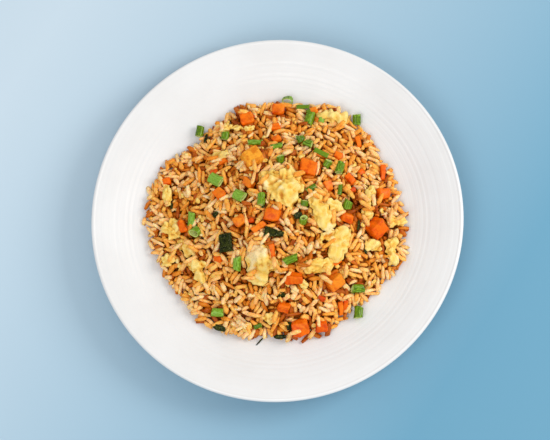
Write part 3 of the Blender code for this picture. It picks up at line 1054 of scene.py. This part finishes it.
def crumb_sizes():
    """The listed bits, then many small crumbs all over the heap."""
    scatter = random.Random(21)
    for bit in EGG_BITS:
        yield bit
    for _ in range(CRUMBS):
        angle = scatter.uniform(-math.pi, math.pi)
        reach = math.sqrt(scatter.random()) * 0.95 * heap_radius(angle) / MM
        size = scatter.uniform(2.0, 4.6)
        width = size * scatter.uniform(0.6, 0.9)
        turn = scatter.uniform(0, 180)
        yield reach * math.cos(angle), reach * math.sin(angle), size, width, 0.7 * width, turn


def build_egg_crumbs():
    crumbs = bmesh.new()
    for number, (x, y, length, width, height, turn) in enumerate(crumb_sizes()):
        bm = bmesh.new()
        bmesh.ops.create_icosphere(bm, subdivisions=4 if length > 6 else 2, radius=0.5)
        bmesh.ops.scale(bm, vec=Vector((length, width, height)) * MM, verts=bm.verts)
        crumple(bm, 30 + number, min(1.0, length / 14))
        add_to(crumbs, bm, bit_place(x, y, turn, 0, 0.1 * height))
        bm.free()
    TOPPINGS.append(add_piece("egg_crumbs", crumbs, EGG, "egg"))


build_egg_crumbs()
print(len(EGG_BITS) + CRUMBS, "crumbs of egg")

# %% [markdown]
# ## Rice: the core
# Nobody sees more than the top few grains, so the middle of the heap is one smaller body.
# It is a round body drawn out like the heap but a grain or two lower, with lumps where grains show
# Its colour is painted shade: dark and golden, for the shadow deep between the grains.

# %% Rice core
CORE_DEPTH = 6.0 * MM
CORE_SHARE = 0.93
CORE_LUMP = 3.2 * MM
CORE_RELIEF = 1.3 * MM


def shaded_core_finish():
    material, tree, shader = new_finish("rice_core", 0.5)
    # Painted shade: far darker than the grains, for the shadow deep between them.
    colour = add_ramp(
        tree, add_noise(tree, 420, 3.0), (0.35, (0.20, 0.036, 0.001)), (0.65, (0.42, 0.105, 0.004))
    )
    tree.links.new(colour, shader.inputs["Base Color"])
    shader.inputs["Specular IOR Level"].default_value = 0.05
    add_bump(tree, shader, add_noise(tree, 600, 3.0), 0.6, 0.6 * MM)
    return material


def core_top(x, y):
    """Height of the core's upper side; the plate itself outside the core."""
    plate = plate_top(np.hypot(x, y))
    inside = heap_share(x, y) < CORE_SHARE
    return np.where(inside, np.maximum(heap_top(x, y) - CORE_DEPTH, plate + CLEARANCE), plate)


def build_core():
    bm = bmesh.new()
    bmesh.ops.create_uvsphere(bm, u_segments=160, v_segments=100, radius=1)
    for vertex in bm.verts:
        share = min(math.hypot(vertex.co.x, vertex.co.y), 1.0) * CORE_SHARE
        angle = math.atan2(vertex.co.y, vertex.co.x)
        x = share * heap_radius(angle) * math.cos(angle)
        y = share * heap_radius(angle) * math.sin(angle)
        low = plate_top(math.hypot(x, y)) + CLEARANCE
        high = float(heap_top(x, y)) - CORE_DEPTH
        lump = noise.noise(Vector((x, y, 0)) / CORE_LUMP) * CORE_RELIEF
        vertex.co = (x, y, max(low, high + lump) if vertex.co.z > -0.001 else low)
    bmesh.ops.remove_doubles(bm, verts=bm.verts, dist=0.02 * MM)
    bmesh.ops.recalc_face_normals(bm, faces=bm.faces)
    return add_piece("rice_core", bm, shaded_core_finish(), "rice", "rice_heap")


build_core()

# %% [markdown]
# ## Rice: one grain
# A cooked long grain is a rod with rounded ends, slightly bent, about 9 mm long. It is repeated
# thousands of times, so it has only a few dozen faces. Six shapes are made: plain, bent, plump,
# slim, broken and a mere crumb, and each copy is also stretched, flattened and dented a little.

# %% Grain shapes
GRAIN_LENGTH = 10.4 * MM
GRAIN_WIDTH = 3.4 * MM
GRAIN_SHAPES = (  # (bend, fullness of the ends, length, width) against a plain grain
    (0.05, 0.52, 1.00, 1.00),
    (0.18, 0.56, 1.06, 0.94),
    (0.08, 0.46, 0.86, 1.14),
    (0.12, 0.60, 1.16, 0.86),
    (0.06, 0.50, 0.64, 0.98),
    (0.10, 0.56, 0.42, 0.72),
)
SHAPE_ODDS = (6, 6, 5, 4, 4, 3)


def grain_shape(bend, fullness, length, width):
    """A grain of length and width 1 along X, as points and faces."""
    bm = bmesh.new()
    bmesh.ops.create_uvsphere(bm, u_segments=8, v_segments=6, radius=0.5)
    bmesh.ops.rotate(bm, verts=bm.verts, matrix=Matrix.Rotation(math.radians(90), 3, "Y"))
    for vertex in bm.verts:
        round_part = math.hypot(vertex.co.y, vertex.co.z) * 2
        fuller = round_part ** (fullness - 1) if round_part > 0.01 else 1.0
        bow = bend * (0.25 - vertex.co.x**2) * 4
        vertex.co = (
            vertex.co.x * length,
            vertex.co.y * fuller * width,
            vertex.co.z * fuller * width + bow,
        )
    bmesh.ops.recalc_face_normals(bm, faces=bm.faces)
    bmesh.ops.triangulate(bm, faces=bm.faces)
    points = np.array([vertex.co for vertex in bm.verts])
    faces = np.array([[vertex.index for vertex in face.verts] for face in bm.faces])
    bm.free()
    return points, faces


GRAINS = [grain_shape(*shape) for shape in GRAIN_SHAPES]
print("triangles in a grain:", len(GRAINS[0][1]))

# %% [markdown]
# ## Rice: laying the grains
# Scattered copies that ignore each other float and sink into each other. Here the grains are laid
# one by one, as if dropped from a spoon. A square field stores how high the food already is. A new
# grain rests on the highest points under it, which gives its height and tilt, and then it raises
# the field. Laying stops where the field reaches the heap's true surface.

# %% The field of heights
CELL = 0.75 * MM
FIELD_REACH = 106 * MM
FIELD_AXIS = np.arange(-FIELD_REACH, FIELD_REACH + CELL / 2, CELL)
FIELD_X, FIELD_Y = np.meshgrid(FIELD_AXIS, FIELD_AXIS, indexing="ij")
CLUMP_SIZE = 13 * MM
CLUMP_RELIEF = 3.2 * MM


def clump_relief(x, y):
    """Rice sticks in clumps, so its surface has lumps and pits a grain or two deep."""
    broad = noise.noise(Vector((x, y, 0)) / CLUMP_SIZE)
    fine = noise.noise(Vector((x, y, 0.1)) / CLUMP_SIZE * 2.2)
    return CLUMP_RELIEF * (broad + 0.5 * fine)


EDGE_FADE = 1 - np.minimum(heap_share(FIELD_X, FIELD_Y), 1.0) ** 6
GOAL = heap_top(FIELD_X, FIELD_Y) + np.vectorize(clump_relief)(FIELD_X, FIELD_Y) * EDGE_FADE
FIELD = core_top(FIELD_X, FIELD_Y)
TOPPED = np.zeros_like(FIELD, dtype=bool)
LEANED = np.zeros_like(TOPPED)
TOPPING_TOP = np.zeros_like(FIELD)
LEANED_ON = ("soft_egg", "cut_carrot", "egg_crumbs")


def cell_of(value):
    return int(round((value + FIELD_REACH) / CELL))


def mark_topping(piece):
    """Marks the cells that a topping covers, how high it stands, and whether grains may lean on it."""
    lean = piece.name.startswith(LEANED_ON)
    evaluated = piece.evaluated_get(bpy.context.evaluated_depsgraph_get())
    tree = BVHTree.FromObject(piece, bpy.context.evaluated_depsgraph_get())
    corners = [Vector(corner) for corner in evaluated.bound_box]
    lows = [min(corner[axis] for corner in corners) for axis in (0, 1)]
    highs = [max(corner[axis] for corner in corners) for axis in (0, 1)]
    for i in range(cell_of(lows[0]), cell_of(highs[0]) + 1):
        for j in range(cell_of(lows[1]), cell_of(highs[1]) + 1):
            start = Vector((FIELD_AXIS[i], FIELD_AXIS[j], 100 * MM))
            hit = tree.ray_cast(start, Vector((0, 0, -1)))[0]
            if hit is not None:
                TOPPED[i, j] = True
                LEANED[i, j] |= lean
                TOPPING_TOP[i, j] = max(TOPPING_TOP[i, j], hit.z)


bpy.context.view_layer.update()
for topping in TOPPINGS:
    mark_topping(topping)
print("covered by toppings:", round(float(TOPPED.sum()) * (CELL / MM) ** 2 / 100, 1), "cm2")

# %% Rest one grain on the field
REST_STEPS = (-0.42, -0.21, 0.0, 0.21, 0.42)
STEEPEST = 1.1
SETTLE = 0.45  # share of a grain's half width that it sinks between its neighbours


def rest_line(x, y, heading, length, radius):
    """Height and slope of a grain that rests on the field here, or None over a topping."""
    heights = []
    covered = 0
    for step in REST_STEPS:
        i = cell_of(x + heading[0] * step * length)
        j = cell_of(y + heading[1] * step * length)
        patch = FIELD[i - 1 : i + 2, j - 1 : j + 2]
        heights.append(0.5 * patch.max() + 0.5 * patch.mean())
        covered += TOPPED[i, j]
    if covered > 1 or TOPPED[cell_of(x), cell_of(y)]:
        return None
    best = (-1.0, 0.0)
    for left in (0, 1, 2):
        for right in (2, 3, 4):
            if left == right:
                candidate = (heights[2], 0.0)
            else:
                gap = (REST_STEPS[right] - REST_STEPS[left]) * length
                slope = (heights[right] - heights[left]) / gap
                candidate = (heights[left] - slope * REST_STEPS[left] * length, slope)
            best = max(best, candidate)
    height, slope = best
    return height + radius * (1 - SETTLE), max(-STEEPEST, min(STEEPEST, slope))


def raise_field(x, y, z, heading, slope, length, radius):
    """Stamps a laid grain's upper side into the field."""
    reach = int(length / 2 / CELL) + 2
    i, j = cell_of(x), cell_of(y)
    window = (slice(i - reach, i + reach + 1), slice(j - reach, j + reach + 1))
    across_x = FIELD_X[window] - x
    across_y = FIELD_Y[window] - y
    along = across_x * heading[0] + across_y * heading[1]
    beside = across_y * heading[0] - across_x * heading[1]
    run = length / 2 / math.sqrt(1 + slope * slope)
    inside = 1 - np.abs(along / run) ** 3 - (beside / radius) ** 2
    top = z + slope * along + radius * np.sqrt(np.maximum(inside, 0.0))
    FIELD[window] = np.where(inside > 0, np.maximum(FIELD[window], top), FIELD[window])


# %% Lay the grains
GRAIN_LIMIT = 6400
TRIES = 34000
OVERFLOW = 1.0 * MM  # how far a grain may stand above the heap's surface
STUCK_SHARE = 0.35  # share of grains that have a neighbour stuck beside them
SLOPE_JITTER = 0.16
draw = random.Random(4)


def next_place():
    """The lowest-lying of a few random places inside the heap, with a free heading."""
    best = None
    for _ in range(4):
        angle = draw.uniform(-math.pi, math.pi)
        reach = math.sqrt(draw.random()) * 0.985 * heap_radius(angle)
        x, y = reach * math.cos(angle), reach * math.sin(angle)
        i, j = cell_of(x), cell_of(y)
        lack = GOAL[i, j] - FIELD[i, j]
        if not TOPPED[i, j] and (best is None or lack > best[0]):
            best = (lack, x, y)
    return best and (best[1], best[2], draw.uniform(-math.pi, math.pi))


def try_grain(x, y, yaw, spare=OVERFLOW, reach=1.03):
    """A grain of random shape and size at rest here, or None where it has no room."""
    heading = (math.cos(yaw), math.sin(yaw))
    kind = draw.choices(range(len(GRAIN_SHAPES)), SHAPE_ODDS)[0]
    length = GRAIN_LENGTH * draw.uniform(0.76, 1.14)
    width = GRAIN_WIDTH * draw.uniform(0.82, 1.12)
    full = length * GRAIN_SHAPES[kind][2]
    for side in (-0.5, 0.5):
        if heap_share(x + side * heading[0] * full, y + side * heading[1] * full) > reach:
            return None
    resting = rest_line(x, y, heading, full, width / 2)
    if resting is None:
        return None
    z, slope = resting
    slope += draw.gauss(0, SLOPE_JITTER)
    if z + width / 2 + abs(slope) * full / 2 > CAD_BOX[1][2]:
        return None
    if z + width / 2 > GOAL[cell_of(x), cell_of(y)] + spare * draw.uniform(-0.4, 1.0):
        return None
    raise_field(x, y, z, heading, slope, full, width / 2)
    return (kind, x, y, z, yaw, slope, length, width)


def lay_grains():
    laid = []
    beside = None
    for _ in range(TRIES):
        place = beside or next_place()
        beside = None
        grain = place and try_grain(*place)
        if not grain:
            continue
        laid.append(grain)
        if draw.random() < STUCK_SHARE:
            x, y, yaw, gap = grain[1], grain[2], grain[4], 0.95 * grain[7]
            yaw += draw.gauss(0, 0.2)
            beside = (x - math.sin(yaw) * gap, y + math.cos(yaw) * gap, yaw)
        if len(laid) == GRAIN_LIMIT:
            break
    return laid


LAID = lay_grains()
print("grains laid:", len(LAID))

# %% Loose grains over the toppings and round the edge
LOOSE_GRAINS = 76
LOOSE_SPARE = 9 * MM
LOOSE_STEEPEST = 0.55
LOOSE_SHIFT = 2.2 * MM
EDGE_GRAINS = (  # (x, y in mm, heading in degrees)
    (-97.6, -0.5, 80),
    (-74.6, -55.8, 140),
    (-32.8, -86.1, 35),
    (11.2, -92.1, 10),
    (37.0, -84.9, -30),
    (85.3, -44.9, 60),
)


def rim_cells():
    """Covered cells that have a free neighbour: the outlines of the toppings, seen from above."""
    inner = TOPPED.copy()
    for axis in (0, 1):
        for step in (-2, 2):
            inner &= np.roll(TOPPED, step, axis)
    return np.argwhere(LEANED & ~inner)


def lay_loose_grains():
    """Grains that lean on the rims of the toppings, as if the last spoonful fell on them."""
    rims = rim_cells()
    FIELD[TOPPED] = np.maximum(FIELD, TOPPING_TOP)[TOPPED]
    TOPPED[LEANED] = False
    loose = []
    for x, y, heading in EDGE_GRAINS:
        loose.append(try_grain(x * MM, y * MM, math.radians(heading), LOOSE_SPARE, 1.2))
    while len(loose) < LOOSE_GRAINS:
        i, j = rims[draw.randrange(len(rims))]
        x = FIELD_AXIS[i] + draw.uniform(-LOOSE_SHIFT, LOOSE_SHIFT)
        y = FIELD_AXIS[j] + draw.uniform(-LOOSE_SHIFT, LOOSE_SHIFT)
        grain = try_grain(x, y, draw.uniform(-math.pi, math.pi), LOOSE_SPARE)
        if grain and abs(grain[5]) < LOOSE_STEEPEST:
            loose.append(grain)
    return [grain for grain in loose if grain]


LOOSE = lay_loose_grains()
print("loose grains:", len(LOOSE))

# %% [markdown]
# ## Rice: finishes and pieces
# The soy and the pan colour every grain differently, so the grains are sorted into three kinds,
# soaked and shaded, golden and pale, each one joined piece. The first kind is partly painted shade:
# grains buried in the pits go to it. Every grain also carries its own tone, and noise adds the uneven
# film of sauce. A little subsurface light makes it look like cooked starch.

# %% Rice finishes
RICE_KINDS = (  # (name, darkest, middle, palest colour, share of the grains)
    ("soaked", (0.42, 0.090, 0.003), (0.66, 0.190, 0.007), (0.82, 0.310, 0.022), 0.07),
    ("golden", (0.90, 0.370, 0.040), (0.94, 0.475, 0.085), (0.97, 0.555, 0.135), 0.47),
    ("pale", (0.95, 0.525, 0.150), (0.98, 0.605, 0.220), (0.99, 0.720, 0.360), 0.46),
)


def rice_finish(name, dark, middle, pale):
    material, tree, shader = new_finish(f"rice_{name}", 0.42)
    shade = add_ramp(tree, add_attribute(tree, "tone"), (0.0, dark), (0.5, middle), (1.0, pale))
    sauce = add_ramp(
        tree, add_noise(tree, 330, 3.0), (0.36, (0.84, 0.62, 0.42)), (0.58, (1.0, 1.0, 1.0))
    )
    colour = add_blend(tree, 0.8, shade, sauce, "MULTIPLY")
    tree.links.new(colour, shader.inputs["Base Color"])
    shader.inputs["Specular IOR Level"].default_value = 0.2
    shader.inputs["Subsurface Weight"].default_value = 0.4
    shader.inputs["Subsurface Radius"].default_value = (1.0, 0.5, 0.15)
    shader.inputs["Subsurface Scale"].default_value = 1.2 * MM
    add_bump(tree, shader, add_noise(tree, 900, 2.0), 0.35, 0.15 * MM)
    return material


# %% Join the grains
GRAIN_DENT = 0.052
END_SHADE = 0.5  # how much darker the ends of a grain are than its middle
SAUCE_SIZE = 15 * MM
SAUCE_CONTRAST = 0.9
PIT_SHADING = 60
COVER = 2.2 * MM  # a grain this far below the mean surface still counts as a top one
DEEP = 2.4 * MM
LOOK_ROUND = 6  # cells


def grain_matrix(x, y, z, yaw, slope, roll):
    turn = Matrix.Rotation(yaw, 4, "Z") @ Matrix.Rotation(-math.atan(slope), 4, "Y")
    return Matrix.Translation((x, y, z)) @ turn @ Matrix.Rotation(roll, 4, "X")


def joined_grains(name, grains, material):
    """One mesh that holds its own dented copy of a shape for every grain, with the grain's shade."""
    points, faces, tones = [], [], []
    dents = np.random.default_rng(len(grains))
    start = 0
    for kind, x, y, z, yaw, slope, length, width, tone, roll in grains:
        shape_points, shape_faces = GRAINS[kind]
        flatness = dents.uniform(0.78, 1.0)
        dented = shape_points + dents.normal(0, GRAIN_DENT, shape_points.shape)
        sized = dented * (length, width, width * flatness)
        placed = np.array(grain_matrix(x, y, z, yaw, slope, roll))
        points.append(sized @ placed[:3, :3].T + placed[:3, 3])
        faces.append(shape_faces + start)
        tones.append(tone + 0.1 - END_SHADE * 4 * shape_points[:, 0] ** 2 * dents.uniform(0.2, 1.0))
        start += len(sized)
    mesh = bpy.data.meshes.new(name)
    mesh.from_pydata(np.concatenate(points), [], np.concatenate(faces).tolist())
    shade = mesh.attributes.new("tone", "FLOAT", "POINT")
    shade.data.foreach_set("value", np.concatenate(tones))
    return add_mesh(name, mesh, material, "rice")


def depth_below(x, y, z):
    """0 for a grain on top and 1 for one that the finished heap has buried in a pit."""
    i, j = cell_of(x), cell_of(y)
    around = FIELD[i - LOOK_ROUND : i + LOOK_ROUND + 1, j - LOOK_ROUND : j + LOOK_ROUND + 1]
    return min(1.0, max(0.0, float(around.mean()) - z - COVER) / DEEP)


def sort_grains():
    """Deals the grains out to the kinds: soaked where the sauce has pooled, darker in the pits as painted
    shade.
    """
    names = [name for name, *_ in RICE_KINDS]
    dealt = {name: [] for name in names}
    for number, grain in enumerate(LAID + LOOSE):
        weights = [weight for *_, weight in RICE_KINDS]
        sauce = 2.0 * noise.noise(Vector((grain[1], grain[2], 0)) / SAUCE_SIZE + Vector((3.1, 5.7, 0)))
        # Painted shade: a grain buried deep in a pit goes far more often to the darkest kind and gets a
        # lower tone.
        deep = depth_below(*grain[1:4]) if number < len(LAID) else 0.0
        weights[0] *= math.exp(SAUCE_CONTRAST * sauce) * (1 + PIT_SHADING * deep)
        weights[2] *= math.exp(-SAUCE_CONTRAST * sauce) * (1 - 0.8 * deep)
        tone = min(1.0, max(0.0, draw.uniform(0.0, 1.0) - 0.2 * sauce - 0.4 * deep))
        roll = draw.uniform(-0.5, 0.5) + draw.choice((0, math.pi))
        dealt[draw.choices(names, weights)[0]].append((*grain, tone, roll))
    return dealt


for (name, dark, middle, pale, _), grains in zip(RICE_KINDS, sort_grains().values()):
    joined_grains(f"rice_{name}", grains, rice_finish(name, dark, middle, pale))
    print(f"rice_{name}:", len(grains), "grains")

# %% [markdown]
# ## Finish
# The grains and curds are kept below the top of the imported part's box; here both boxes are set side by
# side.

# %% Size and finish
boxes = {"cad": CAD_BOX, "visual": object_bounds()}
{name: [list(corner) for corner in box] for name, box in boxes.items()}
